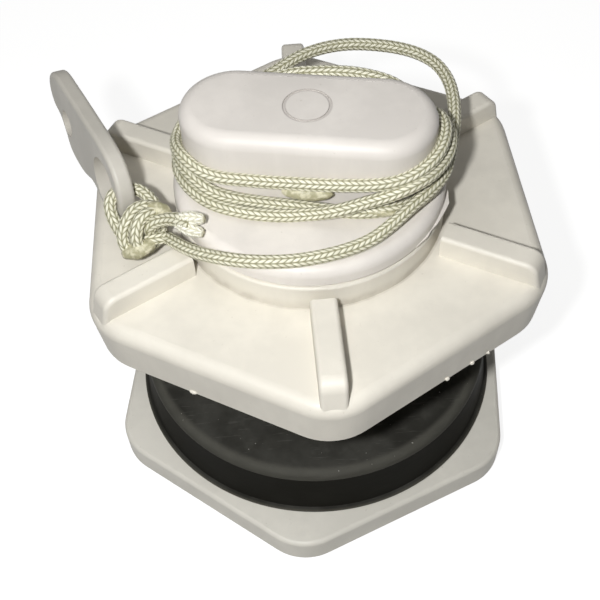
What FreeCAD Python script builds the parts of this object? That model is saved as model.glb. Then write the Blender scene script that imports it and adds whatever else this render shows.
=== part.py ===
import FreeCAD, Part
import math
import os

Vector = FreeCAD.Vector
os.makedirs("parts", exist_ok=True)

# The screw axis is Z. The nut's underside lies at Z 0, and the rubber, the boat's wall and the flange
# are above it. The flange has one corner towards -Y.

# Spanner sizes: flange and clamp nut take the same spanner
across_flats = 82.0
corner_turn = -90.0

# Clamp nut: a plain hexagonal plate
nut_height = 6.9
nut_corner_radius = 10.7
nut_edge_radius = 0.9
nut_turn = -8.6

# Gaskets
lip_radius = 38.8
lip_height = 1.4
lower_gasket_foot_radius = 38.0
lower_gasket_top_radius = 36.7
lower_gasket_height = 10.1
upper_gasket_radius = 36.9
upper_gasket_height = 2.4
upper_gasket_top_fillet = 1.7
upper_gasket_foot_fillet = 0.5
gasket_bore_clearance = 0.3

# Space between the upper gasket and the flange, for the boat's wall
wall_gap = 27.4

# Flange of the through-hull body
flange_height = 10.6
rim_draft = 0.85
rim_corner_radius = 10.7
rim_edge_radius = 2.4
collar_radius = 24.75
collar_height = 15.9
collar_edge_radius = 0.5
pocket_depth = 4.2
rim_wall = 3.6
boss_wall = 3.2
web_width = 3.0

# Ribs on the flange's corners
rib_count = 6
rib_width = 4.7
rib_height = 4.5
rib_collar_gap = 1.55
rib_nose_radius = 2.6
rib_edge_radius = 0.8
rib_end_lean = 14.0
rib_end_sunk = 0.05

# Threaded tube of the body
tube_radius = 21.0
tube_floor_gap = 0.5
thread_lead = 4.0
tube_thread_depth = 1.25
tube_thread_margin = 2.0
tube_neck = 3.0
thread_foot_share = 0.72
thread_crest_share = 0.32
thread_sunk = 0.2
running_fit = 0.05

# Drain plug
stem_radius = 17.5
stem_thread_depth = 1.0
stem_length = 16.0
stem_wall = 3.2
stem_thread_margin = 2.0
disc_radius = 24.6
disc_height = 3.6
disc_edge_radius = 2.0
disc_roof = 2.6
grip_length = 44.4
grip_width = 19.3
grip_height = 14.1
grip_edge_radius = 2.5
grip_wall = 3.0
grip_turn = -11.8
mark_radius = 4.2
mark_width = 0.5
mark_depth = 0.25

# Moulding flash left on the disc's lower edge: pairs of angle and reach, from the right towards the front
flash_thickness = 0.35
flash_outline = [
    (-4, 0.1), (-7, 0.4), (-10, 0.15), (-14, 0.5), (-17, 0.65), (-19.5, 0.95), (-22, 0.8),
    (-26, 0.6), (-32, 0.4), (-36, 0.1), (-40, 0.3), (-47, 0.1),
]

# Seal ring between the collar and the plug's disc
seal_gap = 0.7
seal_height = 1.2
seal_width = 4.0
seal_disc_margin = 2.0
seal_side_clearance = 0.1

# Lanyard tag: a flat plate with two eyes, standing on its long edge. Its outline is pairs of length and
# height, from the near end's middle along the top to the far end, and back along the lobe below.
tag_thickness = 3.2
tag_lean = 7.0
tag_heading = 114.2
tag_edge_radius = 0.8
near_eye_radius = 5.2
near_eye_place = (5.1, -5.4)
far_eye_radius = 2.6
far_eye_place = (24.6, -5.6)
tag_collar_gap = 9.75
tag_side = -2.6
tag_rise = 7.3
tag_outline = [
    (-2.5, -4.5), (-1.5, -0.8), (1.2, 1.9), (5.0, 2.9), (12.0, 2.9), (20.0, 2.7), (26.5, 2.4),
    (30.3, 2.0), (32.8, 0.6), (33.9, -2.2), (33.0, -5.1), (30.9, -6.4), (28.8, -6.8), (27.3, -8.1),
    (26.0, -9.7), (24.8, -11.3), (23.0, -12.2), (20.2, -12.5), (17.2, -12.3), (14.5, -11.4),
    (12.2, -10.6), (10.0, -10.8), (8.0, -11.5), (5.0, -11.9), (1.2, -10.9), (-1.5, -8.1),
]

# Cord
cord_diameter = 2.4
cord_clearance = 0.2
wraps_foot_offset = 3.25
wraps_top_offset = 2.5
wraps_height = 9.0
knot_radius = 5.6
knot_collar_gap = 1.55
knot_heading = -166.4

# Levels and radii worked out from the sizes above
rubber_top = nut_height + lower_gasket_height + upper_gasket_height
flange_foot = rubber_top + wall_gap
panel_top = flange_foot + flange_height
collar_top = flange_foot + collar_height
disc_foot = collar_top + seal_gap
disc_top = disc_foot + disc_height
grip_top = disc_top + grip_height
tube_foot = tube_floor_gap
bore_radius = stem_radius + running_fit
seal_outer_radius = disc_radius - seal_disc_margin
seal_inner_radius = seal_outer_radius - seal_width
far_out = 4 * across_flats


def polar(radius, degrees, z=0.0):
    angle = math.radians(degrees)
    return Vector(radius * math.cos(angle), radius * math.sin(angle), z)


def turned(shape, degrees):
    """A copy of the shape, turned about the screw axis."""
    copy = shape.copy()
    copy.rotate(Vector(0, 0, 0), Vector(0, 0, 1), degrees)
    return copy


def hexagon(flats, corner_radius, z, turn=corner_turn):
    """A closed hexagonal wire with rounded corners, at height z."""
    corner = flats / math.sqrt(3)
    centre_distance = corner - corner_radius / math.sin(math.radians(60))
    edges = []
    points = []
    for index in range(6):
        angle = turn + 60 * index
        centre = polar(centre_distance, angle, z)
        points.append([centre + polar(corner_radius, angle + step) for step in (-30, 0, 30)])
    for index in range(6):
        start, middle, end = points[index]
        edges.append(Part.Arc(start, middle, end).toShape())
        edges.append(Part.makeLine(end, points[(index + 1) % 6][0]))
    return Part.Wire(edges)


def prism(wire, height):
    return Part.Face(wire).extrude(Vector(0, 0, height))


def ring(inner, outer, foot, height):
    """A plain ring about the screw axis."""
    body = Part.makeCylinder(outer, height, Vector(0, 0, foot))
    return body.cut(Part.makeCylinder(inner, height, Vector(0, 0, foot)))


def revolved(points):
    """A solid of revolution: the profile is a list of (radius, z) points."""
    corners = [Vector(radius, 0, z) for radius, z in points]
    face = Part.Face(Part.makePolygon(corners + corners[:1]))
    return face.revolve(Vector(0, 0, 0), Vector(0, 0, 1), 360)


def rounded(shape, radius, chosen):
    """Rounds the edges that the test picks."""
    return shape.makeFillet(radius, [edge for edge in shape.Edges if chosen(edge)])


def level(z, tolerance=0.01):
    """A test for edges that lie at one height."""
    return lambda edge: abs(edge.BoundBox.ZMin - z) < tolerance and abs(edge.BoundBox.ZMax - z) < tolerance


def at_radius(radius, z, tolerance=0.01):
    """A test for circles about the screw axis, at one height."""
    def test(edge):
        round_edge = isinstance(edge.Curve, Part.Circle)
        return round_edge and level(z, tolerance)(edge) and abs(edge.Curve.Radius - radius) < tolerance
    return test


def thread(major, depth, foot, top):
    """The ridge of a coarse right-hand screw thread, a little sunk into its cylinder."""
    minor = major - depth
    half_foot = thread_foot_share * thread_lead / 2
    half_crest = thread_crest_share * thread_lead / 2
    path = Part.makeHelix(thread_lead, top - foot, minor)
    corners = [
        Vector(minor - thread_sunk, 0, -half_foot),
        Vector(major, 0, -half_crest),
        Vector(major, 0, half_crest),
        Vector(minor - thread_sunk, 0, half_foot),
    ]
    section = Part.makePolygon(corners + corners[:1])
    ridge = Part.Wire(path.Edges).makePipeShell([section], True, True)
    ridge.translate(Vector(0, 0, foot))
    return ridge


def stadium(length, width, z):
    """A closed wire with two straight sides and round ends, along X."""
    half = (length - width) / 2
    radius = width / 2
    front_left = Vector(-half, -radius, z)
    front_right = Vector(half, -radius, z)
    back_right = Vector(half, radius, z)
    back_left = Vector(-half, radius, z)
    front = Part.makeLine(front_left, front_right)
    right = Part.Arc(front_right, Vector(half + radius, 0, z), back_right).toShape()
    back = Part.makeLine(back_right, back_left)
    left = Part.Arc(back_left, Vector(-half - radius, 0, z), front_left).toShape()
    return Part.Wire([front, right, back, left])


def rib_end_reach():
    """How far out a rib's end stands at its foot: where its sides meet the rounded corner of the rim."""
    flats = across_flats - 2 * rim_draft * rim_edge_radius / flange_height
    corner_centre = flats / math.sqrt(3) - rim_corner_radius / math.sin(math.radians(60))
    return corner_centre + math.sqrt(rim_corner_radius ** 2 - rib_width ** 2 / 4) - rib_end_sunk


def make_rib():
    """One rib: a level web with a rounded nose, and an end that leans out to the rim's corner."""
    foot = panel_top - rim_edge_radius
    start = collar_radius + rib_collar_gap
    top = panel_top + rib_height
    end = rib_end_reach()
    nose = rib_nose_radius
    lean = math.radians(rib_end_lean)
    nose_centre = Vector(0, 0, top - nose)
    lean_start = nose_centre.z + nose * math.sin(lean)
    nose_centre.x = end - (lean_start - foot) * math.tan(lean) - nose * math.cos(lean)

    def on_nose(angle):
        return nose_centre + Vector(nose * math.cos(angle), 0, nose * math.sin(angle))

    corners = [Vector(end, 0, foot), Vector(start, 0, foot), Vector(start, 0, top), on_nose(math.pi / 2)]
    arc = Part.Arc(corners[3], on_nose((math.pi / 2 + lean) / 2), on_nose(lean)).toShape()
    edges = Part.makePolygon(corners).Edges + [arc, Part.makeLine(on_nose(lean), corners[0])]
    web = Part.Face(Part.Wire(edges)).extrude(Vector(0, rib_width, 0))
    web.translate(Vector(0, -rib_width / 2, 0))

    def outer_side(edge):
        box = edge.BoundBox
        beside = abs(abs(edge.CenterOfMass.y) - rib_width / 2) < 0.01
        return beside and box.YLength < 0.01 and box.ZMax > foot + 0.01 and box.XMax > start + 0.01

    return rounded(web, rib_edge_radius, outer_side)


def make_body():
    flange = Part.makeLoft(
        [
            hexagon(across_flats - 2 * rim_draft, rim_corner_radius, flange_foot),
            hexagon(across_flats, rim_corner_radius, panel_top),
        ],
        True,
        True,
    )
    flange = rounded(flange, rim_edge_radius, level(panel_top))

    pocket_flats = across_flats - 2 * rim_draft - 2 * rim_wall
    pocket = prism(hexagon(pocket_flats, rim_corner_radius / 2, flange_foot), pocket_depth)
    pocket = pocket.cut(Part.makeCylinder(tube_radius + boss_wall, pocket_depth, Vector(0, 0, flange_foot)))
    for index in range(rib_count):
        web = Part.makeBox(across_flats, web_width, pocket_depth, Vector(0, -web_width / 2, flange_foot))
        pocket = pocket.cut(turned(web, corner_turn + 360 / rib_count * index))
    flange = flange.cut(pocket)

    rib = make_rib()
    ribs = [turned(rib, corner_turn + 360 / rib_count * index) for index in range(rib_count)]
    flange = flange.fuse(ribs)

    collar = Part.makeCylinder(collar_radius, collar_top - flange_foot, Vector(0, 0, flange_foot))
    collar = rounded(collar, collar_edge_radius, at_radius(collar_radius, collar_top))
    tube = Part.makeCylinder(tube_radius - tube_thread_depth, collar_top - tube_foot, Vector(0, 0, tube_foot))
    neck = Part.makeCylinder(tube_radius, tube_neck + pocket_depth, Vector(0, 0, flange_foot - tube_neck))
    body = flange.fuse([collar, tube, neck]).removeSplitter()

    thread_top = flange_foot - tube_neck - tube_thread_margin
    ridge = thread(tube_radius, tube_thread_depth, tube_foot + tube_thread_margin, thread_top)
    body = body.fuse(ridge)
    return body.cut(Part.makeCylinder(bore_radius, far_out, Vector(0, 0, -1)))


def make_nut():
    plate = prism(hexagon(across_flats, nut_corner_radius, 0, corner_turn + nut_turn), nut_height)
    plate = rounded(plate, nut_edge_radius, lambda edge: level(0)(edge) or level(nut_height)(edge))
    return plate.cut(Part.makeCylinder(tube_radius + running_fit, nut_height, Vector(0, 0, 0)))


def make_lower_gasket():
    foot = nut_height
    top = foot + lower_gasket_height
    bore = tube_radius + gasket_bore_clearance
    half = lip_height / 2
    return revolved(
        [
            (bore, foot),
            (lip_radius - half, foot),
            (lip_radius, foot + half),
            (lower_gasket_foot_radius, foot + lip_height),
            (lower_gasket_top_radius, top),
            (bore, top),
        ]
    )


def make_upper_gasket():
    foot = nut_height + lower_gasket_height
    top = foot + upper_gasket_height
    washer = ring(tube_radius + gasket_bore_clearance, upper_gasket_radius, foot, upper_gasket_height)
    washer = rounded(washer, upper_gasket_foot_fillet, at_radius(upper_gasket_radius, foot))
    return rounded(washer, upper_gasket_top_fillet, at_radius(upper_gasket_radius, top))


def make_flash():
    """The ragged fin of plastic that the mould left along the disc's lower edge."""
    inner_radius = disc_radius - flash_thickness
    outer = [polar(disc_radius + reach, angle, disc_foot) for angle, reach in flash_outline]
    inner = [polar(inner_radius, angle, disc_foot) for angle, reach in reversed(flash_outline)]
    corners = outer + inner
    return prism(Part.makePolygon(corners + corners[:1]), flash_thickness)


def make_plug():
    disc = Part.makeCylinder(disc_radius, disc_height, Vector(0, 0, disc_foot))
    disc = rounded(disc, disc_edge_radius, at_radius(disc_radius, disc_top)).fuse(make_flash())
    grip = prism(stadium(grip_length, grip_width, disc_top), grip_height)
    grip = rounded(grip, grip_edge_radius, level(grip_top))
    mark = ring(mark_radius - mark_width, mark_radius, grip_top - mark_depth, mark_depth)
    grip = grip.cut(mark)
    stem_foot = Vector(0, 0, disc_foot - stem_length)
    stem = Part.makeCylinder(stem_radius - stem_thread_depth, stem_length, stem_foot)
    plug = disc.fuse([turned(grip, grip_turn), stem]).removeSplitter()

    hollow = stem_radius - stem_thread_depth - stem_wall
    core_top = disc_top - disc_roof
    core = Part.makeCylinder(hollow, core_top - disc_foot + stem_length, stem_foot)
    plug = plug.cut(core)
    grip_core = prism(
        stadium(grip_length - 2 * grip_wall, grip_width - 2 * grip_wall, core_top),
        grip_top - grip_wall - core_top,
    )
    grip_core = grip_core.common(Part.makeCylinder(hollow, far_out, Vector(0, 0, 0)))
    plug = plug.cut(turned(grip_core, grip_turn))

    groove_depth = seal_height - seal_gap
    groove = ring(seal_inner_radius - seal_side_clearance, seal_outer_radius + seal_side_clearance,
                  disc_foot, groove_depth)
    plug = plug.cut(groove)

    foot = disc_foot - stem_length + stem_thread_margin
    return plug.fuse(thread(stem_radius, stem_thread_depth, foot, disc_foot - stem_thread_margin))


def make_seal():
    return ring(seal_inner_radius, seal_outer_radius, collar_top, seal_height)


def make_tag():
    """The tag lies flat first, length along X and height along Y, and is then stood up beside the collar."""
    outline = Part.BSplineCurve()
    outline.interpolate(Points=[Vector(*point, 0) for point in tag_outline], PeriodicFlag=True)
    tag = prism(Part.Wire([outline.toShape()]), tag_thickness)
    tag = rounded(tag, tag_edge_radius, lambda edge: level(0)(edge) or level(tag_thickness)(edge))
    tag = tag.cut(Part.makeCylinder(near_eye_radius, tag_thickness, Vector(*near_eye_place, 0)))
    tag = tag.cut(Part.makeCylinder(far_eye_radius, tag_thickness, Vector(*far_eye_place, 0)))

    tag.rotate(Vector(0, 0, 0), Vector(1, 0, 0), 90 + tag_lean)
    tag.rotate(Vector(0, 0, 0), Vector(0, 0, 1), tag_heading)
    tag.translate(Vector(-collar_radius - tag_collar_gap, tag_side, collar_top + tag_rise))
    return tag


def make_wraps():
    """One closed solid of the outer shape of the turns wound round the grip's foot."""
    foot = disc_top + cord_clearance / 2
    top = foot + wraps_height
    outer = Part.makeLoft(
        [
            stadium(grip_length + 2 * wraps_foot_offset, grip_width + 2 * wraps_foot_offset, foot),
            stadium(grip_length + 2 * wraps_top_offset, grip_width + 2 * wraps_top_offset, top),
        ],
        True,
        True,
    )
    wraps = outer.cut(prism(stadium(grip_length, grip_width, foot), wraps_height))
    return turned(wraps, grip_turn)


def cord(name, route):
    """A tube of straight runs joined by tangent arcs, as large as the runs allow."""
    points = [Vector(*point) for point in route]
    edges = []
    radii = []
    last = points[0]
    for before, here, after in zip(points, points[1:], points[2:]):
        back = before - here
        ahead = after - here
        shorter = min(back.Length, ahead.Length)
        half_turn = (math.pi - back.getAngle(ahead)) / 2
        cut = 0.45 * shorter
        radius = cut / math.tan(half_turn)
        back.normalize()
        ahead.normalize()
        start = here + back * cut
        end = here + ahead * cut
        inward = (back + ahead).normalize()
        middle = here + inward * (radius / math.cos(half_turn) - radius)
        edges.append(Part.makeLine(last, start))
        edges.append(Part.Arc(start, middle, end).toShape())
        radii.append(radius)
        last = end
    edges.append(Part.makeLine(last, points[-1]))
    path = Part.Wire(edges)
    direction = points[1] - points[0]
    circle = Part.Circle(points[0], direction, cord_diameter / 2).toShape()
    tube = path.makePipeShell([Part.Wire([circle])], True, False)
    length = path.Length
    section = math.pi * cord_diameter ** 2 / 4
    print(name, "length", round(length, 1))
    print(name, "volume over section x length", round(tube.Volume / section / length, 4))
    print(name, "radii", [round(radius, 1) for radius in radii])
    return tube


# The free stretch leaves the knot, crosses the front of the disc, rises at the right,
# goes round behind the grip and comes back to the turns at the grip's back.
span_route = [
    (-26.0, -10.4, 62.6),
    (-22.2, -15.6, 64.6),
    (-17.0, -20.3, 67.2),
    (-9.9, -22.9, 68.9),
    (-2.4, -23.5, 69.0),
    (5.5, -21.9, 69.4),
    (12.8, -18.6, 70.7),
    (19.5, -15.6, 72.0),
    (24.9, -10.4, 72.9),
    (27.2, -3.5, 73.2),
    (27.9, 3.6, 73.0),
    (28.3, 11.0, 72.6),
    (27.0, 18.2, 72.2),
    (22.6, 23.4, 72.0),
    (16.4, 26.3, 71.9),
    (9.3, 27.6, 71.7),
    (2.6, 26.1, 71.5),
    (-2.9, 22.6, 71.3),
    (-7.0, 18.4, 71.2),
    (-12.6, 16.9, 71.0),
]
tail_route = [(-27.5, -10.7, 65.5), (-23.0, -13.3, 68.3), (-17.4, -15.6, 69.0)]
knot_distance = collar_radius + knot_radius + knot_collar_gap
knot_centre = polar(knot_distance, knot_heading, panel_top + knot_radius + cord_clearance / 2)

shapes = {
    "through_hull_body": make_body(),
    "clamp_nut": make_nut(),
    "lower_gasket": make_lower_gasket(),
    "upper_gasket": make_upper_gasket(),
    "drain_plug": make_plug(),
    "plug_seal": make_seal(),
    "lanyard_tag": make_tag(),
    "cord_wraps": make_wraps(),
    "cord_span": cord("span", span_route),
    "cord_knot": Part.makeSphere(knot_radius, knot_centre),
    "cord_tail": cord("tail", tail_route),
}
for name, shape in shapes.items():
    box = shape.BoundBox
    print(name, "valid", shape.isValid(), "solids", len(shape.Solids), "volume", round(shape.Volume, 1),
          "z", round(box.ZMin, 2), round(box.ZMax, 2))
    shape.exportStep("parts/" + name + ".step")
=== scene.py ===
# %% [markdown]
# The object is a screw-in drain plug for a boat: a ribbed hexagonal fitting with a threaded tube, a plain
# clamp nut, two black rubber gaskets, and a plug with an oblong grip. A braided cord is wound round the
# grip and tied to a tag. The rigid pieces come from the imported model, in metres, and are never moved or
# changed here.

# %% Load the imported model
import math

import bpy
import numpy as np
from mathutils import Matrix, Vector


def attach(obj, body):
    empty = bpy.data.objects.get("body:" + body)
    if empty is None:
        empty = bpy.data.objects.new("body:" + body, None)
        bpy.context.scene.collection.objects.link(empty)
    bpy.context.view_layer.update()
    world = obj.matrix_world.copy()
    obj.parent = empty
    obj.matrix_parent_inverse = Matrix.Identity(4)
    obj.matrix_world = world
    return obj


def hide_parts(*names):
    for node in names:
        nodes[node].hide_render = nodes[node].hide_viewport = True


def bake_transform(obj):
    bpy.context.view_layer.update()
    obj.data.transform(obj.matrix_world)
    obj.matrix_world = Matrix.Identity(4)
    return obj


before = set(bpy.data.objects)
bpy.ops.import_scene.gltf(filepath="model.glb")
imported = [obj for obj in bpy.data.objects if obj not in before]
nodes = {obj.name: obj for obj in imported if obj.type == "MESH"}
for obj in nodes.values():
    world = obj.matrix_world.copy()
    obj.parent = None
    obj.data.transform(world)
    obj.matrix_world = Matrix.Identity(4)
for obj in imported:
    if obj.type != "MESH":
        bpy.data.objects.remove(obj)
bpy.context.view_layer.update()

mm = 0.001
scene = bpy.context.scene
scene.view_settings.view_transform = "Standard"
bpy.ops.object.select_all(action="DESELECT")
print("pieces of the packed model:", sorted(nodes))

# %% [markdown]
# The camera comes first, because every other choice is judged through it. It looks down at about 52 degrees
# from close by, so the near parts look larger than the far ones. A camera is turned from the inside out:
# first its own roll, then its tilt from the vertical, then its place round the object. The matrix
# `seen_axes` is kept for later: it turns a step that is given as the camera sees it, to the right, up and
# towards the camera, into a step in the object's own frame.

# %% Camera
picture_width = 600
sensor_width = 36.0
focal_length_pixels = 948.6
camera_azimuth = math.radians(-2.33)
camera_elevation = math.radians(52.05)
camera_roll = math.radians(-2.90)
camera_distance = 200.6 * mm
looked_at = Vector((-2.85, 0.12, 28.22)) * mm

camera_turn = (
    Matrix.Rotation(camera_azimuth, 4, "Z")
    @ Matrix.Rotation(math.pi / 2 - camera_elevation, 4, "X")
    @ Matrix.Rotation(camera_roll, 4, "Z")
)
seen_axes = camera_turn.to_3x3()
camera_place = looked_at + seen_axes @ Vector((0, 0, camera_distance))
bpy.ops.object.camera_add()
camera = bpy.context.object
camera.matrix_world = Matrix.Translation(camera_place) @ camera_turn
camera.data.sensor_width = sensor_width
camera.data.lens = sensor_width * focal_length_pixels / picture_width
camera.data.clip_start = 10 * mm
scene.camera = camera
print("camera at", [round(value / mm, 1) for value in camera_place], "mm")
print("lens of", round(camera.data.lens, 1), "mm")

# %% [markdown]
# A finish is a small network of nodes. Written out node by node it is hard to read, so two small classes
# let it be written as sums. The first, `Value`, wraps one output socket, and adds a Math node for each sum.

# %% Shader sums


class Value:
    """One output socket of a finish, which can be added, multiplied and so on."""

    def __init__(self, finish, socket):
        self.finish = finish
        self.socket = socket

    def __add__(self, other):
        return self.finish.maths("ADD", self, other)

    def __sub__(self, other):
        return self.finish.maths("SUBTRACT", self, other)

    def __rsub__(self, other):
        return self.finish.maths("SUBTRACT", other, self)

    def __mul__(self, other):
        return self.finish.maths("MULTIPLY", self, other)

    def __pow__(self, other):
        return self.finish.maths("POWER", self, other)

    __radd__ = __add__
    __rmul__ = __mul__


# %% [markdown]
# The second class, `Finish`, makes a material, and its method `node` adds any other kind of node: its
# settings are set first, then its inputs are fed. The other methods are the few patterns that the finishes
# below are made of. Most of them start from noise, whose values lie round 0.5 and seldom leave 0.3 to 0.7,
# so the two limits that are given to `step` choose how much of the surface a pattern covers.

# %% Finishes


class Finish:
    """A material with one glossy shader, and the nodes that feed it."""

    def __init__(self, name, **constants):
        self.material = bpy.data.materials.new(name)
        self.material.use_nodes = True
        self.tree = self.material.node_tree
        self.shader = self.tree.nodes["Principled BSDF"]
        for socket, value in constants.items():
            self.shader.inputs[socket.replace("_", " ")].default_value = value
        self.place = self.node("ShaderNodeTexCoord", output="Object")

    def feed(self, socket, value):
        """Links a value to a socket, or writes a number or a colour into it."""
        if isinstance(value, Value):
            self.tree.links.new(value.socket, socket)
        else:
            socket.default_value = value

    def give(self, socket, value):
        """Feeds one of the glossy shader's own sockets."""
        self.feed(self.shader.inputs[socket], value)

    def node(self, kind, settings=None, inputs=None, output=0):
        """Adds a node of any kind, and wraps one of its outputs."""
        node = self.tree.nodes.new(kind)
        for name, value in (settings or {}).items():
            setattr(node, name, value)
        for socket, value in (inputs or {}).items():
            self.feed(node.inputs[socket], value)
        return Value(self, node.outputs[output])

    def maths(self, operation, first, second=0.0):
        return self.node("ShaderNodeMath", {"operation": operation}, {0: first, 1: second})

    def axes(self, vector=None):
        """The three numbers of a vector, or of the place on the object."""
        split = self.node("ShaderNodeSeparateXYZ", inputs={0: vector or self.place}).socket.node
        return [Value(self, socket) for socket in split.outputs]

    def radius_and_height(self):
        """How far the place on the object is from the screw axis, and how high it is."""
        x, y, z = self.axes()
        return self.maths("SQRT", x * x + y * y), z

    def mix(self, factor, first, second):
        """A colour between two, each a link or three numbers."""
        first, second = [
            colour if isinstance(colour, Value) else (*colour, 1) for colour in (first, second)
        ]
        # The node's sockets 6 and 7 are its two colours, and its output 2 is the mixed one.
        inputs = {0: factor, 6: first, 7: second}
        return self.node("ShaderNodeMix", {"data_type": "RGBA"}, inputs, output=2)

    def noise(self, size, detail=3.0, stretch=(1, 1, 1)):
        """A soft random pattern with features of this size in metres, from 0 to 1."""
        scaled = self.node("ShaderNodeMapping", inputs={"Vector": self.place, "Scale": stretch})
        inputs = {"Vector": scaled, "Scale": 1 / size, "Detail": detail}
        return self.node("ShaderNodeTexNoise", inputs=inputs)

    def step(self, value, low, high):
        """0 under low, 1 over high, and smooth between them."""
        settings = {"interpolation_type": "SMOOTHSTEP"}
        inputs = {"Value": value, "From Min": low, "From Max": high}
        return self.node("ShaderNodeMapRange", settings, inputs)

    def band(self, value, middle, solid, faded):
        """1 where the value is within solid of the middle, and 0 where it is faded or more away."""
        return 1 - self.step(self.maths("ABSOLUTE", value - middle), solid, faded)

    def bump(self, height, depth, strength):
        """A bumped normal, where height runs from 0 to 1 and depth is in metres."""
        inputs = {"Height": height, "Distance": depth, "Strength": strength}
        return self.node("ShaderNodeBump", inputs=inputs)


# %% [markdown]
# The plastic is one family: a warm off-white moulded part with a satin skin. Real moulded plastic is never
# one flat colour. It has broad, faint clouds from the melt's flow, a fine grain that breaks up the
# highlight, and small specks of dirt. Each part gets its own tint from the same function.

# %% Plastic
cloud_size = 14 * mm
cloud_darkening = 0.10
streak_size = 2.2 * mm
streak_stretch = (1, 1, 0.35)
speck_size = 0.8 * mm
speck_colour = (0.42, 0.38, 0.31)
speck_strength = 0.30
grain_size = 0.30 * mm
grain_depth = 0.02 * mm
plastic_roughness = 0.40


def plastic(name, tint):
    """The finish in one tint. Its colour is kept as surface, because painted shade goes over it below."""
    finish = Finish(name, IOR=1.47)
    clouds = finish.noise(cloud_size, detail=2.0)
    streaks = finish.noise(streak_size, detail=4.0, stretch=streak_stretch)
    shade = [channel * (1 - cloud_darkening) for channel in tint]
    surface = finish.mix(finish.step(clouds * 0.75 + streaks * 0.25, 0.35, 0.65), tint, shade)
    specks = finish.step(finish.noise(speck_size), 0.70, 0.78) * speck_strength
    finish.surface = finish.mix(specks, surface, speck_colour)
    finish.give("Base Color", finish.surface)
    finish.give("Roughness", plastic_roughness + clouds * 0.08 + streaks * 0.06)
    grain = finish.noise(grain_size)
    finish.give("Normal", finish.bump(grain * 0.6 + streaks * 0.4, grain_depth, 0.8))
    return finish


body_finish = plastic("body plastic", (0.77, 0.735, 0.65))
nut_finish = plastic("nut plastic", (0.83, 0.805, 0.725))
plug_finish = plastic("plug plastic", (0.785, 0.745, 0.695))
# The tag's darker tint is in part painted shade for its broad face, which turns away from the lamp.
tag_finish = plastic("tag plastic", (0.585, 0.56, 0.50))
print("materials so far:", [material.name for material in bpy.data.materials])

# %% [markdown]
# A thin dark ring of painted shade lies where the collar stands on the flange, in the corner between them.
# The distance from the screw axis, worked out from the object coordinates, draws that ring without any
# image.

# %% Painted shade round the collar's foot
collar_foot = 24.8 * mm
shade_ring_reach = (0.1 * mm, 0.5 * mm)
shade_ring_fades_up = (58.0 * mm, 60.0 * mm)
shade_ring_patch_size = 3.0 * mm
shade_ring_colour = (0.33, 0.29, 0.23)
shade_ring_strength = 0.55

from_axis, height = body_finish.radius_and_height()
near_collar = body_finish.band(from_axis, collar_foot, *shade_ring_reach)
low_enough = 1 - body_finish.step(height, *shade_ring_fades_up)
patches = body_finish.step(body_finish.noise(shade_ring_patch_size), 0.3, 0.7) * 0.5 + 0.3
# Painted shade: a dark ring in the corner at the collar's foot, uneven in patches.
collar_shade = near_collar * low_enough * patches * shade_ring_strength
body_finish.give("Base Color", body_finish.mix(collar_shade, body_finish.surface, shade_ring_colour))
print("grime in a ring of", round(collar_foot / mm, 1), "mm radius")

# %% [markdown]
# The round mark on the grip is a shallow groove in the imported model. Its walls catch the lamp more than
# they should, so the same trick with the distance from the axis greys the groove a little.

# %% Grey in the round mark
mark_middle = 3.95 * mm
mark_reach = (0.25 * mm, 0.45 * mm)
mark_starts_up = (80.0 * mm, 80.5 * mm)
mark_colour = (0.50, 0.47, 0.44)
mark_strength = 0.75

from_axis, height = plug_finish.radius_and_height()
in_mark = plug_finish.band(from_axis, mark_middle, *mark_reach)
on_top = plug_finish.step(height, *mark_starts_up)
grey = in_mark * on_top * mark_strength
plug_finish.give("Base Color", plug_finish.mix(grey, plug_finish.surface, mark_colour))
print("grey in a ring of", round(mark_middle / mm, 2), "mm radius")

# %% [markdown]
# The gaskets are black rubber. Black rubber is really a dark warm grey with a bloom: a pale, dusty film in
# smudges, with fine scratches and a few light specks of lint. Dust settles on what faces up, so the film is
# strong on the flat top and almost absent on the wall, which stays nearly black. At the rounded rim of the
# upper gasket and at the thin lip at the lower one's foot, a lighter grey is painted in as a highlight,
# where these edges catch the lamp.

# %% Rubber
black_rubber = (0.0115, 0.0110, 0.0088)
bloom_colour = (0.074, 0.073, 0.065)
lint_colour = (0.45, 0.44, 0.40)
rim_highlight_colour = (0.098, 0.096, 0.082)
lip_highlight_colour = (0.11, 0.105, 0.085)
rim_fade_start = 2.5 * mm
rim_fade_end = 1.2 * mm
lip_fade = 0.5 * mm
smudge_size = 9 * mm
smudge_stretch = (1, 1, 1.6)
drag_mark_size = 1.2 * mm
drag_mark_stretch = (0.35, 0.35, 1.5)
drag_mark_depth = 0.03 * mm
scratch_size = 0.5 * mm
scratch_stretch = (0.12, 1.0, 1.0)
lint_size = 0.7 * mm


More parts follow.
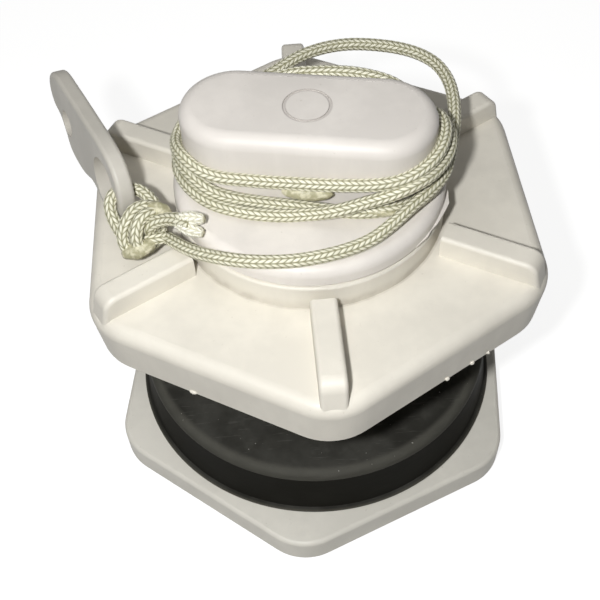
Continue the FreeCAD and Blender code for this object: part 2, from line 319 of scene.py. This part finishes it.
def rubber(name, rim_radius=None, lip_top=None):
    """Dusty black rubber, with a painted highlight in lighter grey near a rim of this radius, or under the
    top of a lip.
    """
    finish = Finish(name, IOR=1.25, Specular_IOR_Level=0.06)
    facing = finish.node("ShaderNodeTexCoord", output="Normal")
    upward = finish.step(finish.axes(facing)[2], 0.35, 0.90)
    smudges = finish.step(finish.noise(smudge_size, 4.0, smudge_stretch), 0.35, 0.75)
    drag_marks = finish.noise(drag_mark_size, 5.0, drag_mark_stretch)
    scratches = finish.step(finish.noise(scratch_size, 2.0, scratch_stretch), 0.62, 0.70)
    lint = finish.step(finish.noise(lint_size, 1.0), 0.785, 0.82) * upward
    dust = 0.30 + smudges * 0.45 + finish.step(drag_marks, 0.5, 0.8) * 0.25
    film = (0.12 + upward * 0.88) * dust
    surface = finish.mix(film + scratches * upward * 0.25, black_rubber, bloom_colour)
    from_axis, height = finish.radius_and_height()
    if rim_radius:
        rim = finish.step(from_axis, rim_radius - rim_fade_start, rim_radius - rim_fade_end)
        # Painted highlight on the rounded rim, where it catches the lamp.
        surface = finish.mix(rim * (0.45 + drag_marks * 0.5), surface, rim_highlight_colour)
    if lip_top:
        lip = 1 - finish.step(height, lip_top, lip_top + lip_fade)
        # Painted highlight on the lip at the gasket's foot.
        surface = finish.mix(lip * (0.35 + drag_marks * 0.5), surface, lip_highlight_colour)
    finish.give("Base Color", finish.mix(lint * 0.7, surface, lint_colour))
    finish.give("Roughness", 0.42 + film * 0.25 + drag_marks * 0.08)
    finish.give("Normal", finish.bump(drag_marks, drag_mark_depth, 0.7))
    return finish


upper_rubber = rubber("upper gasket rubber", rim_radius=36.9 * mm)
lower_rubber = rubber("lower gasket rubber", lip_top=7.6 * mm)
seal_finish = rubber("seal rubber")
print("materials so far:", [material.name for material in bpy.data.materials])

# %% [markdown]
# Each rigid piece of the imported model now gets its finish. Only its material slots change: its mesh is the
# real shape already and is left alone.

# %% Finishes of the rigid pieces


def paint(thing, finish):
    """Gives every material slot of an object one finish."""
    if not thing.material_slots:
        thing.data.materials.append(finish.material)
    for slot in thing.material_slots:
        slot.material = finish.material


finishes = {
    "through_hull_body": body_finish,
    "clamp_nut": nut_finish,
    "drain_plug": plug_finish,
    "lanyard_tag": tag_finish,
    "lower_gasket": lower_rubber,
    "upper_gasket": upper_rubber,
    "plug_seal": seal_finish,
}
for node, finish in finishes.items():
    paint(nodes[node], finish)
    print(node, "is painted with", finish.material.name)

# %% [markdown]
# The cord is a braid of sixteen yarns, eight each way round, each passing over two and under two. Seen from
# outside, such a braid is eight columns of slanting stitches, and neighbouring columns slant opposite ways,
# so that they make a row of chevrons. One formula gives the height of the yarn at any place: how far round
# the cord, in columns, and how far along it, in stitches. It shapes the mesh here and colours it below.

# %% Braid
cord_diameter = 2.4 * mm
braid_columns = 8
braid_relief = 0.17 * mm
stitch_length = 1.1 * mm
ring_points = 4 * braid_columns


def braid_height(column, stitch):
    """Height of the yarn, from 0 in the gaps to 1 on the crests."""
    slant = np.abs(column % 2 - 1)
    across = (stitch + slant) % 1
    yarn = np.sqrt(1 - (2 * across - 1) ** 2)
    dip = np.abs(np.sin(np.pi * column)) ** 0.5
    return yarn * dip


print("each ring of the cord has", ring_points, "points in", braid_columns, "columns")

# %% [markdown]
# The cord's finish repeats the braid's formula with Math nodes on the UV map, which holds columns one way
# and stitches the other. Crests are cream and shiny, and the gaps between the stitches are painted olive
# grey as shade in the braid's crevices. Each stitch is a little lighter or darker than the next, which takes
# a
# number of its own for every stitch: the number of its row, plus a large step for each column.

# %% Cord finish
column_stride = 57.0
stitch_variation = 0.22
fibre_scale = 1.6
fibre_share = 0.10
yarn_depth = 0.12 * mm


def braid_finish(name, crest_colour, gap_shade_colour, roughness):
    finish = Finish(name, IOR=1.5)
    column, stitch = finish.axes(finish.node("ShaderNodeUVMap", {"uv_map": "braid"}))[:2]
    slant = 1 - finish.maths("PINGPONG", column, 1.0)
    along = stitch + slant
    across = finish.maths("FRACT", along)
    middle = across * 2 - 1
    yarn = finish.maths("SQRT", finish.maths("MAXIMUM", 1 - middle * middle, 0.0))
    dip = finish.maths("ABSOLUTE", finish.maths("SINE", column * math.pi)) ** 0.5
    height = yarn * dip
    stitch_number = finish.maths("FLOOR", along) + finish.maths("FLOOR", column) * column_stride
    chance = finish.node("ShaderNodeTexWhiteNoise", {"noise_dimensions": "1D"}, {"W": stitch_number})
    over_yarn = finish.node("ShaderNodeCombineXYZ", inputs={0: across, 1: 0.0, 2: 0.0})
    bands = {"wave_type": "BANDS", "bands_direction": "X"}
    fibres = finish.node("ShaderNodeTexWave", bands, {"Vector": over_yarn, "Scale": fibre_scale})
    crest = finish.step(height, 0.25, 0.95) * (1 - stitch_variation + chance * stitch_variation)
    # The crests get the cord's cream, and the gaps get painted shade.
    finish.give("Base Color", finish.mix(crest, gap_shade_colour, crest_colour))
    finish.give("Roughness", roughness - crest * 0.18)
    finish.give("Normal", finish.bump(height + fibres * fibre_share, yarn_depth, 0.6))
    return finish


cream = (0.88, 0.86, 0.70)
gap_shade_olive = (0.27, 0.26, 0.15)
cord_finish = braid_finish("cord braid", cream, gap_shade_olive, roughness=0.60)
print("nodes in the cord's finish:", len(cord_finish.tree.nodes))

# %% [markdown]
# A cord's line is smooth, so its control points go into a NURBS spline, and the points of that curve are
# read back from a mesh of it. The order is set after the points are added, because before that it stays at
# 2, which is straight runs.

# %% Smooth line


def smooth_line(controls, steps):
    """Points along the NURBS curve with these control points, in metres."""
    curve = bpy.data.curves.new("route", "CURVE")
    curve.dimensions = "3D"
    spline = curve.splines.new("NURBS")
    spline.points.add(len(controls) - 1)
    for control, point in zip(spline.points, controls):
        control.co = (*point, 1)
    spline.order_u = 3
    spline.use_endpoint_u = True
    spline.resolution_u = steps
    holder = bpy.data.objects.new("route", curve)
    mesh = bpy.data.meshes.new_from_object(holder)
    line = np.array([vertex.co[:] for vertex in mesh.vertices])
    bpy.data.objects.remove(holder)
    bpy.data.curves.remove(curve)
    bpy.data.meshes.remove(mesh)
    return line


def distances(line):
    """How far along the line each of its points is, in metres."""
    return np.concatenate([[0], np.cumsum(np.linalg.norm(np.diff(line, axis=0), axis=1))])


# %% [markdown]
# The tube's rings follow those points. Each ring's own axes are carried on from the ring before, with no
# twist, so that the braid doesn't spin. The first ring may start at any angle, so any direction that isn't
# along the cord will do.

# %% Axes along a cord


def unit(vectors):
    return vectors / np.linalg.norm(vectors, axis=-1, keepdims=True)


def untwisted_axes(line):
    """Two directions across the line at each point, carried along it without twist."""
    ahead = unit(np.gradient(line, axis=0))
    side = np.zeros_like(line)
    any_direction = (0.3, 0.2, 1.0)
    side[0] = unit(np.cross(ahead[0], any_direction))
    for index in range(1, len(line)):
        carried = side[index - 1]
        side[index] = unit(carried - ahead[index] * (carried @ ahead[index]))
    return side, np.cross(ahead, side)


# %% [markdown]
# Now the tube itself. Its radius at each point is the cord's own, less the braid's relief where the yarn is
# low. Every face also gets its place on the braid, in columns and stitches, for the finish to read. The two
# ends are closed with a fan of triangles round one more point each.

# %% Braided tube


def braid_faces(stitches):
    """The tube's faces, ring after ring and then the ends, and where each corner is on the braid."""
    faces = []
    places = []
    column_step = braid_columns / ring_points
    for row in range(len(stitches) - 1):
        here, there = row * ring_points, (row + 1) * ring_points
        low, high = stitches[row], stitches[row + 1]
        for spot in range(ring_points):
            after = (spot + 1) % ring_points
            left, right = spot * column_step, (spot + 1) * column_step
            faces.append((here + spot, here + after, there + after, there + spot))
            places += [(left, low), (right, low), (right, high), (left, high)]
    last_ring = (len(stitches) - 1) * ring_points
    first_centre = last_ring + ring_points
    last_centre = first_centre + 1
    in_gap = (0.5, 0.5)
    for spot in range(ring_points):
        after = (spot + 1) % ring_points
        faces.append((first_centre, after, spot))
        faces.append((last_centre, last_ring + spot, last_ring + after))
        places += [in_gap] * 6
    return faces, places


def braided_tube(name, line, finish, radii=None):
    """A closed tube along the line, with the braid in its surface and in its UV map."""
    if radii is None:
        radii = np.full(len(line), cord_diameter / 2)
    travelled = distances(line)
    stitches = travelled / stitch_length
    columns = np.arange(ring_points) * braid_columns / ring_points
    height = braid_height(columns[None, :], stitches[:, None])
    radius = radii[:, None] - braid_relief * (1 - height)
    angle = columns * 2 * np.pi / braid_columns
    side, over = untwisted_axes(line)
    rings = (
        line[:, None, :]
        + (radius * np.cos(angle))[:, :, None] * side[:, None, :]
        + (radius * np.sin(angle))[:, :, None] * over[:, None, :]
    )
    vertices = np.concatenate([rings.reshape(-1, 3), line[:1], line[-1:]])
    faces, places = braid_faces(stitches)
    mesh = bpy.data.meshes.new(name)
    mesh.from_pydata(vertices.tolist(), [], faces)
    braid_map = mesh.uv_layers.new(name="braid")
    braid_map.data.foreach_set("uv", np.array(places, np.float32).ravel())
    mesh.shade_smooth()
    tube = bpy.data.objects.new(name, mesh)
    scene.collection.objects.link(tube)
    paint(tube, finish)
    print(name, "is", round(travelled[-1] / mm, 1), "mm long, with", len(faces), "faces")
    return tube


# %% [markdown]
# The free stretch leaves the knot, lies on the front of the plug's disc, slips under the turns at the
# grip's right end, swings out behind the grip in a loose loop and comes back to the turns. Its points are
# given in millimetres.

# %% Free stretch of cord
span_steps = 36
span_points = [
    (-26.0, -10.4, 62.6), (-22.2, -15.6, 64.6), (-17.0, -20.0, 67.2), (-11.3, -22.6, 68.4),
    (-4.0, -23.2, 68.4), (3.2, -22.0, 68.3), (8.4, -20.1, 68.3), (12.2, -17.5, 68.8),
    (16.0, -14.5, 69.9), (19.7, -11.4, 70.1), (22.6, -8.2, 70.1), (24.2, -4.2, 70.1),
    (25.3, -0.6, 70.1), (26.7, 4.2, 70.8), (27.6, 10.0, 71.4), (27.4, 15.8, 71.8),
    (25.4, 20.9, 72.0), (20.5, 25.0, 72.0), (12.6, 27.4, 72.0), (6.5, 27.4, 72.0),
    (0.5, 25.2, 72.0), (-4.0, 21.9, 71.6), (-8.5, 19.0, 71.2), (-12.6, 16.9, 71.0),
]
span_line = smooth_line(np.array(span_points) * mm, span_steps)
span = braided_tube("free_cord", span_line, cord_finish)
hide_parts("cord_span")

# %% [markdown]
# The turns are one cord too. It goes round an oblong, so three numbers say where it is: how far round the
# grip, in turns, how far off its wall and how high, both in millimetres. One function makes them a point: it
# knows the oblong's two straight sides and its two round ends.

# %% A place beside the grip
grip_length = 44.4
grip_width = 19.3
grip_turn = math.radians(-11.8)
round_end = grip_width / 2
half_straight = grip_length / 2 - round_end
arc_share = 0.1425
straight_share = 0.5 - 2 * arc_share


def round_grip(share, offset, height):
    """A point beside the grip: share counts turns, from the left end and past the front."""
    share = share % 1
    if share < arc_share or share >= 1 - arc_share:
        swing = (share + 0.5) % 1 - 0.5
        centre_x, angle = -half_straight, math.pi + swing / arc_share * math.pi / 2
    elif share < arc_share + straight_share:
        centre_x = -half_straight + (share - arc_share) / straight_share * 2 * half_straight
        angle = -math.pi / 2
    elif share < 0.5 + arc_share:
        centre_x, angle = half_straight, (share - 0.5) / arc_share * math.pi / 2
    else:
        centre_x = half_straight - (share - 0.5 - arc_share) / straight_share * 2 * half_straight
        angle = math.pi / 2
    reach = round_end + offset
    x, y = centre_x + reach * math.cos(angle), reach * math.sin(angle)
    cosine, sine = math.cos(grip_turn), math.sin(grip_turn)
    return (cosine * x - sine * y, sine * x + cosine * y, height)


print("the grip's left end is at", [round(value, 1) for value in round_grip(0, 0, 0)], "mm")

# %% [markdown]
# The stations below were chosen at the places where the turns were looked at. At the front the strands lie
# one above the other, and at the back the top strand rises behind the grip. A loop walks round the grip from
# the first station to the last, and takes what lies between two stations from both.

# %% Turns round the grip
points_each_turn = 48
turns_steps = 14
turn_stations = [
    (-0.12, 4.2, 71.0), (-0.06, 2.4, 70.6), (0.00, 1.2, 70.3), (0.04, 1.2, 71.0), (0.079, 1.2, 71.5),
    (0.098, 1.2, 70.7), (0.114, 1.25, 69.9), (0.137, 1.25, 69.2), (0.166, 1.25, 68.6), (0.20, 1.3, 68.3),
    (0.25, 1.5, 68.3), (0.29, 1.9, 68.3), (0.329, 2.1, 68.3), (0.351, 1.7, 68.3), (0.372, 1.25, 68.4),
    (0.42, 1.25, 68.4), (0.50, 1.25, 68.4), (0.60, 1.3, 68.8), (0.75, 1.3, 69.3), (0.90, 1.3, 69.4),
    (0.96, 1.25, 68.6), (1.00, 1.3, 68.2), (1.028, 1.5, 68.3), (1.064, 1.6, 68.3), (1.091, 1.9, 68.3),
    (1.119, 2.6, 68.3), (1.14, 3.2, 68.3), (1.17, 3.9, 68.3), (1.20, 4.1, 68.3), (1.229, 4.0, 68.3),
    (1.25, 3.6, 68.4), (1.279, 3.5, 69.0), (1.309, 3.8, 70.3), (1.329, 2.9, 70.8), (1.351, 2.4, 71.5),
    (1.37, 2.1, 72.5), (1.39, 2.2, 73.4), (1.41, 2.1, 74.0), (1.45, 1.9, 74.0), (1.472, 2.0, 74.0),
    (1.496, 2.2, 74.0), (1.519, 2.6, 74.0), (1.54, 2.6, 74.3), (1.58, 1.4, 75.0), (1.61, 1.5, 76.2),
    (1.637, 2.2, 77.6), (1.667, 2.2, 78.5), (1.698, 2.2, 79.0), (1.728, 2.2, 78.9), (1.759, 2.2, 78.5),
    (1.789, 2.2, 78.1), (1.82, 1.6, 76.5), (1.85, 1.3, 75.5), (1.90, 1.3, 74.0), (1.95, 1.25, 72.8),
    (2.00, 1.2, 72.2), (2.02, 1.2, 72.9), (2.045, 1.2, 73.8), (2.066, 1.2, 74.3), (2.083, 1.2, 74.1),
    (2.112, 1.2, 73.6), (2.129, 1.2, 73.5), (2.20, 1.2, 73.3), (2.25, 1.2, 73.4), (2.292, 1.2, 73.5),
    (2.335, 1.2, 73.9), (2.37, 1.2, 74.5), (2.39, 1.2, 74.8), (2.41, 1.2, 75.2), (2.43, 1.2, 75.7),
    (2.45, 1.2, 76.1), (2.48, 1.2, 76.5), (2.50, 1.25, 76.6), (2.52, 1.4, 76.4), (2.545, 1.5, 76.0),
    (2.57, 1.3, 75.0), (2.60, 1.3, 74.0), (2.68, 1.3, 73.0), (2.76, 1.3, 72.0),
]
shares, offsets, heights = np.array(turn_stations).T
turn_count = shares[-1] - shares[0]
steps_round = int(turn_count * points_each_turn)
turn_path = [span_points[-1]]
for step in range(1, steps_round + 1):
    share = shares[0] + step / points_each_turn
    offset = np.interp(share, shares, offsets)
    height = np.interp(share, shares, heights)
    turn_path.append(round_grip(share, offset, height))
turns_line = smooth_line(np.array(turn_path) * mm, turns_steps)
turns = braided_tube("wound_cord", turns_line, cord_finish)
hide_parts("cord_wraps")
print("turns round the grip:", round(turn_count, 2))

# %% [markdown]
# The knot ties the cord through the tag's near eye. It is one more path, given as seen by the camera:
# right, up and towards it, in millimetres from the knot's middle. The cord comes in from the right, crosses
# behind, goes up through the eye, comes down over the front, passes under and behind, and leaves to the
# right as a short tail. Over its last rings the tail swells a little, where it starts to fray.

# %% Knot and tail
knot_steps = 22
knot_centre = Vector((-31.0, -7.5, 63.1))
knot_views = [
    (5.2, -2.1, 1.3), (3.2, -2.4, 1.2), (0.8, -2.6, 0.2), (-1.6, -2.4, -1.4), (-3.4, -1.2, -1.6),
    (-4.5, 1.0, -0.6), (-5.2, 3.2, -0.3), (-5.0, 5.2, -0.6), (-3.6, 6.6, -1.4), (-1.2, 7.0, -2.2),
    (0.8, 6.0, -2.2), (2.2, 4.4, -1.5), (3.6, 2.6, -1.2), (4.0, 0.2, -1.8), (3.2, -2.2, -1.8),
    (1.2, -4.0, -1.0), (-1.2, -4.6, 0.4), (-2.3, -3.4, 1.7), (-2.4, -1.2, 2.6), (-1.4, 1.0, 3.0),
    (-0.3, 2.8, 2.4), (2.0, 3.6, 1.0), (3.8, 2.4, -0.4), (4.0, -0.4, -0.6), (3.0, -2.8, -0.4),
    (1.4, -4.2, 0.8), (0.1, -3.4, 2.5), (0.1, -1.2, 3.6), (0.9, 1.2, 3.7), (3.0, 2.3, 2.2),
    (3.7, 0.8, 0.6), (2.6, -0.9, 0.7), (2.1, -0.7, 2.0), (3.0, 0.2, 3.0), (4.6, 0.7, 3.8),
    (6.8, 0.8, 5.2), (8.6, 0.3, 6.4), (10.2, -0.3, 7.2),
]
tail_swelling = 0.35 * mm
swelling_rings = 60


def on_knot(view):
    """A point given as the camera sees it from the knot's middle, in millimetres."""
    return knot_centre + seen_axes @ Vector(view)


knot_path = [on_knot(view) for view in knot_views]
knot_line = smooth_line(np.array(knot_path) * mm, knot_steps)
rings_to_end = np.arange(len(knot_line))[::-1]
swelling = np.clip(1 - rings_to_end / swelling_rings, 0, 1) ** 2
knot_radii = cord_diameter / 2 + tail_swelling * swelling
knot = braided_tube("tied_knot", knot_line, cord_finish, knot_radii)
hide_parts("cord_knot", "cord_tail")

# %% [markdown]
# The cut end is frayed into two pale tufts. Each is a short braided tube that swells and then closes, with
# a wave in its radius that makes it ragged.

# %% Frayed end
tuft_steps = 16
tuft_radius = 1.3 * mm
tuft_opening = 0.25
tuft_closing = 0.93
tuft_bluntness = 0.4
ragged_depth = 0.07
ragged_step = 1.9
tuft_views = [
    [(7.9, 0.6, 6.0), (9.6, 0.7, 7.0), (11.0, 0.6, 7.8), (12.4, 0.5, 8.3)],
    [(7.9, 0.0, 5.9), (9.4, -0.9, 6.7), (10.8, -1.5, 7.4), (12.2, -1.9, 7.8)],
]
frayed_crest = (0.94, 0.93, 0.84)
frayed_gap_shade = (0.60, 0.58, 0.44)
# The tufts' gaps are painted darker as shade, as on the rest of the cord.
frayed_finish = braid_finish("frayed cord", frayed_crest, frayed_gap_shade, roughness=0.9)
tufts = []
for tuft_number, views in enumerate(tuft_views):
    tuft_path = [on_knot(view) for view in views]
    tuft_line = smooth_line(np.array(tuft_path) * mm, tuft_steps)
    half_wave = np.linspace(tuft_opening, tuft_closing, len(tuft_line)) * math.pi
    swell = np.sin(half_wave) ** tuft_bluntness
    ragged = 1 + ragged_depth * np.sin(np.arange(len(tuft_line)) * ragged_step + tuft_number)
    tuft_radii = tuft_radius * swell * ragged
    tufts.append(braided_tube(f"frayed_tuft_{tuft_number + 1}", tuft_line, frayed_finish, tuft_radii))

# %% [markdown]
# Where the cord turns away from the lamp, smooth olive patches are laid on it as painted shade. They have
# no braid: they are glossier than the yarn, and mottled light and dark.

# %% Finish of the painted shade on the cord
mottle_size = 0.9 * mm
mottle_depth = 0.10 * mm
shade_patch_dark = (0.40, 0.38, 0.24)
shade_patch_light = (0.66, 0.63, 0.46)

shade_patch_finish = Finish("painted cord shade", IOR=1.5)
mottle = shade_patch_finish.step(shade_patch_finish.noise(mottle_size), 0.40, 0.66)
shade_patch_finish.give("Base Color", shade_patch_finish.mix(mottle, shade_patch_dark, shade_patch_light))
shade_patch_finish.give("Roughness", 0.34 + mottle * 0.2)
shade_patch_finish.give("Normal", shade_patch_finish.bump(mottle, mottle_depth, 0.6))
print("nodes in the finish of painted cord shade:", len(shade_patch_finish.tree.nodes))

# %% [markdown]
# There are four such patches of painted shade: one on the knot's upper right, one at its foot, and two
# between the turns. Each is a round form, stretched and turned to lie along what it rests on, and roughened
# by noise. The patches on the knot are placed as the camera sees them, and those between the turns lie
# along the grip's wall.

# %% Patches of painted shade
lump_size = 1.2 * mm
lump_depth = 0.5 * mm
knot_patch_places = [
    ("shade_patch_knot_top", (4.0, 2.5, 1.6), -28, (2.5, 1.5, 1.7)),
    ("shade_patch_knot_foot", (0.3, -4.3, 1.5), 20, (3.2, 1.6, 1.8)),
]
turn_patch_places = [
    ("shade_patch_turns_middle", (-1.2, -11.0, 71.5), (4.4, 1.2, 1.3)),
    ("shade_patch_turns_right", (10.3, -13.9, 68.6), (3.8, 0.8, 0.7)),
]


def round_form(name, place, turn, half_sizes, segments):
    """A closed round form. Its place and half sizes are in millimetres, and all go into its mesh."""
    bpy.ops.object.select_all(action="DESELECT")
    bpy.ops.mesh.primitive_uv_sphere_add(
        segments=segments,
        ring_count=segments // 2,
        radius=1.0,
        location=Vector(place) * mm,
        rotation=turn.to_euler(),
        scale=Vector(half_sizes) * mm,
    )
    bpy.ops.object.transform_apply(location=True, rotation=True, scale=True)
    form = bpy.context.object
    form.name = name
    return form


def place_shade_patch(name, place, turn, half_sizes, rides_on):
    """A patch of painted shade: a round form with lumps in its surface, which rides on a body."""
    patch = round_form(name, place, turn, half_sizes, segments=48)
    lumps = bpy.data.textures.new(name, "CLOUDS")
    lumps.noise_scale = lump_size
    rough = patch.modifiers.new("lumps", "DISPLACE")
    rough.texture = lumps
    rough.strength = lump_depth
    bpy.ops.object.modifier_apply(modifier="lumps")
    bpy.ops.object.shade_smooth()
    paint(patch, shade_patch_finish)
    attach(patch, rides_on)
    print(name, "has", len(patch.data.polygons), "faces")
    return patch


for name, view, tilt, half_sizes in knot_patch_places:
    turn = seen_axes @ Matrix.Rotation(math.radians(tilt), 3, "Z")
    place_shade_patch(name, on_knot(view), turn, half_sizes, "hull_body")

along_grip = Matrix.Rotation(grip_turn, 3, "Z")
for name, place, half_sizes in turn_patch_places:
    place_shade_patch(name, place, along_grip, half_sizes, "plug")

# %% [markdown]
# The mould left small white shreds on the lower edge of the flange's rim. Four small stretched beads stand
# for them, each turned to lie along its side of the hexagon.

# %% Shreds on the rim
shred_level = 47.2
shred_half_width = 0.45
shred_half_height = 0.4
shred_places = [
    (-23.5, -32.85, -30, 0.8), (20.6, -34.55, 30, 0.5), (25.5, -31.7, 30, 0.5), (28.7, -29.8, 30, 0.35),
]
for shred_number, (x, y, angle, half_length) in enumerate(shred_places):
    shred = round_form(
        f"rim_shred_{shred_number + 1}",
        (x, y, shred_level),
        Matrix.Rotation(math.radians(angle), 3, "Z"),
        (half_length, shred_half_width, shred_half_height),
        segments=16,
    )
    paint(shred, body_finish)
    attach(shred, "hull_body")
print("shreds on the rim:", len(shred_places))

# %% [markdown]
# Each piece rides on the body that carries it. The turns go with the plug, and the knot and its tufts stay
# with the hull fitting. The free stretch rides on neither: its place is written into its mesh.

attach(turns, "plug")
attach(knot, "hull_body")
for tuft in tufts:
    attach(tuft, "hull_body")
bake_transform(span)
print("cords:", span.name, turns.name, knot.name)

# %% [markdown]
# The floor is a plain pale plane. It shows almost white to the camera, and still takes the object's shadow,
# because only rays that come straight from the camera, or by way of gloss, see its even white. To the light
# that bounces off it the floor is darker, so that the rims and the rubber aren't lit from below.

# %% Floor
floor_size = 4
floor_roughness = 0.9
floor_as_seen = (0.95, 0.95, 0.94)
floor_to_light = (0.32, 0.31, 0.29)
white_strength = 1.42
white_share = 0.6

bpy.ops.mesh.primitive_plane_add(size=floor_size)
floor = bpy.context.object
floor.name = "floor"
floor_finish = Finish("pale floor")
ray_kinds = floor_finish.node("ShaderNodeLightPath").socket.node.outputs
straight, glossy, clear = [
    Value(floor_finish, ray_kinds[kind])
    for kind in ("Is Camera Ray", "Is Glossy Ray", "Is Transmission Ray")
]
seen = floor_finish.maths("MINIMUM", straight + glossy + clear, 1.0)
floor_finish.give("Base Color", floor_finish.mix(seen, floor_to_light, floor_as_seen))
floor_finish.give("Roughness", floor_roughness)
plain = Value(floor_finish, floor_finish.shader.outputs[0])
even_white = {"Color": (1.0, 1.0, 1.0, 1), "Strength": white_strength}
white = floor_finish.node("ShaderNodeEmission", inputs=even_white)
shown = floor_finish.node("ShaderNodeMixShader", inputs={0: seen * white_share, 1: plain, 2: white})
floor_finish.feed(floor_finish.tree.nodes["Material Output"].inputs["Surface"], shown)
paint(floor, floor_finish)
print("floor of", floor_size, "m")

# %% [markdown]
# The light is plain: a small lamp beside the camera, a little to its left, and a broad one from above. The
# near lamp makes the front brighter than the back, as a lamp held close does.

# %% Lamps
object_middle = Vector((0, 0, 50)) * mm
beside_camera = camera_place + seen_axes @ Vector((-28, 1, 10)) * mm
high_above = Vector((-60, 60, 520)) * mm


def lamp(name, place, size, watts):
    """A round lamp that points at the object's middle."""
    bpy.ops.object.light_add(type="AREA", location=place)
    light = bpy.context.object
    light.name = name
    light.data.shape = "DISK"
    light.data.size = size
    light.data.energy = watts
    light.rotation_euler = (object_middle - place).to_track_quat("-Z", "Y").to_euler()
    print(name, "is", round((object_middle - place).length / mm), "mm from the object's middle")


lamp("key lamp", beside_camera, size=12 * mm, watts=0.325)
lamp("top lamp", high_above, size=260 * mm, watts=0.27)

# %% [markdown]
# An even sky fills in the shadows. It is white where the camera sees it past the floor, and dim to the
# object: the Light Path node tells the two apart, and a Map Range node turns its answer into a strength.

# %% Sky
sky_colour = (1.0, 0.99, 0.97, 1)
sky_to_object = 0.13
sky_to_camera = 1.0

world = bpy.data.worlds.new("even sky")
world.use_nodes = True
scene.world = world
sky = world.node_tree.nodes["Background"]
sky.inputs["Color"].default_value = sky_colour
sky_rays = world.node_tree.nodes.new("ShaderNodeLightPath")
sky_strength = world.node_tree.nodes.new("ShaderNodeMapRange")
sky_strength.inputs["To Min"].default_value = sky_to_object
sky_strength.inputs["To Max"].default_value = sky_to_camera
world.node_tree.links.new(sky_rays.outputs["Is Camera Ray"], sky_strength.inputs["Value"])
world.node_tree.links.new(sky_strength.outputs[0], sky.inputs["Strength"])
print("sky strength:", sky_to_object, "to the object and", sky_to_camera, "to the camera")
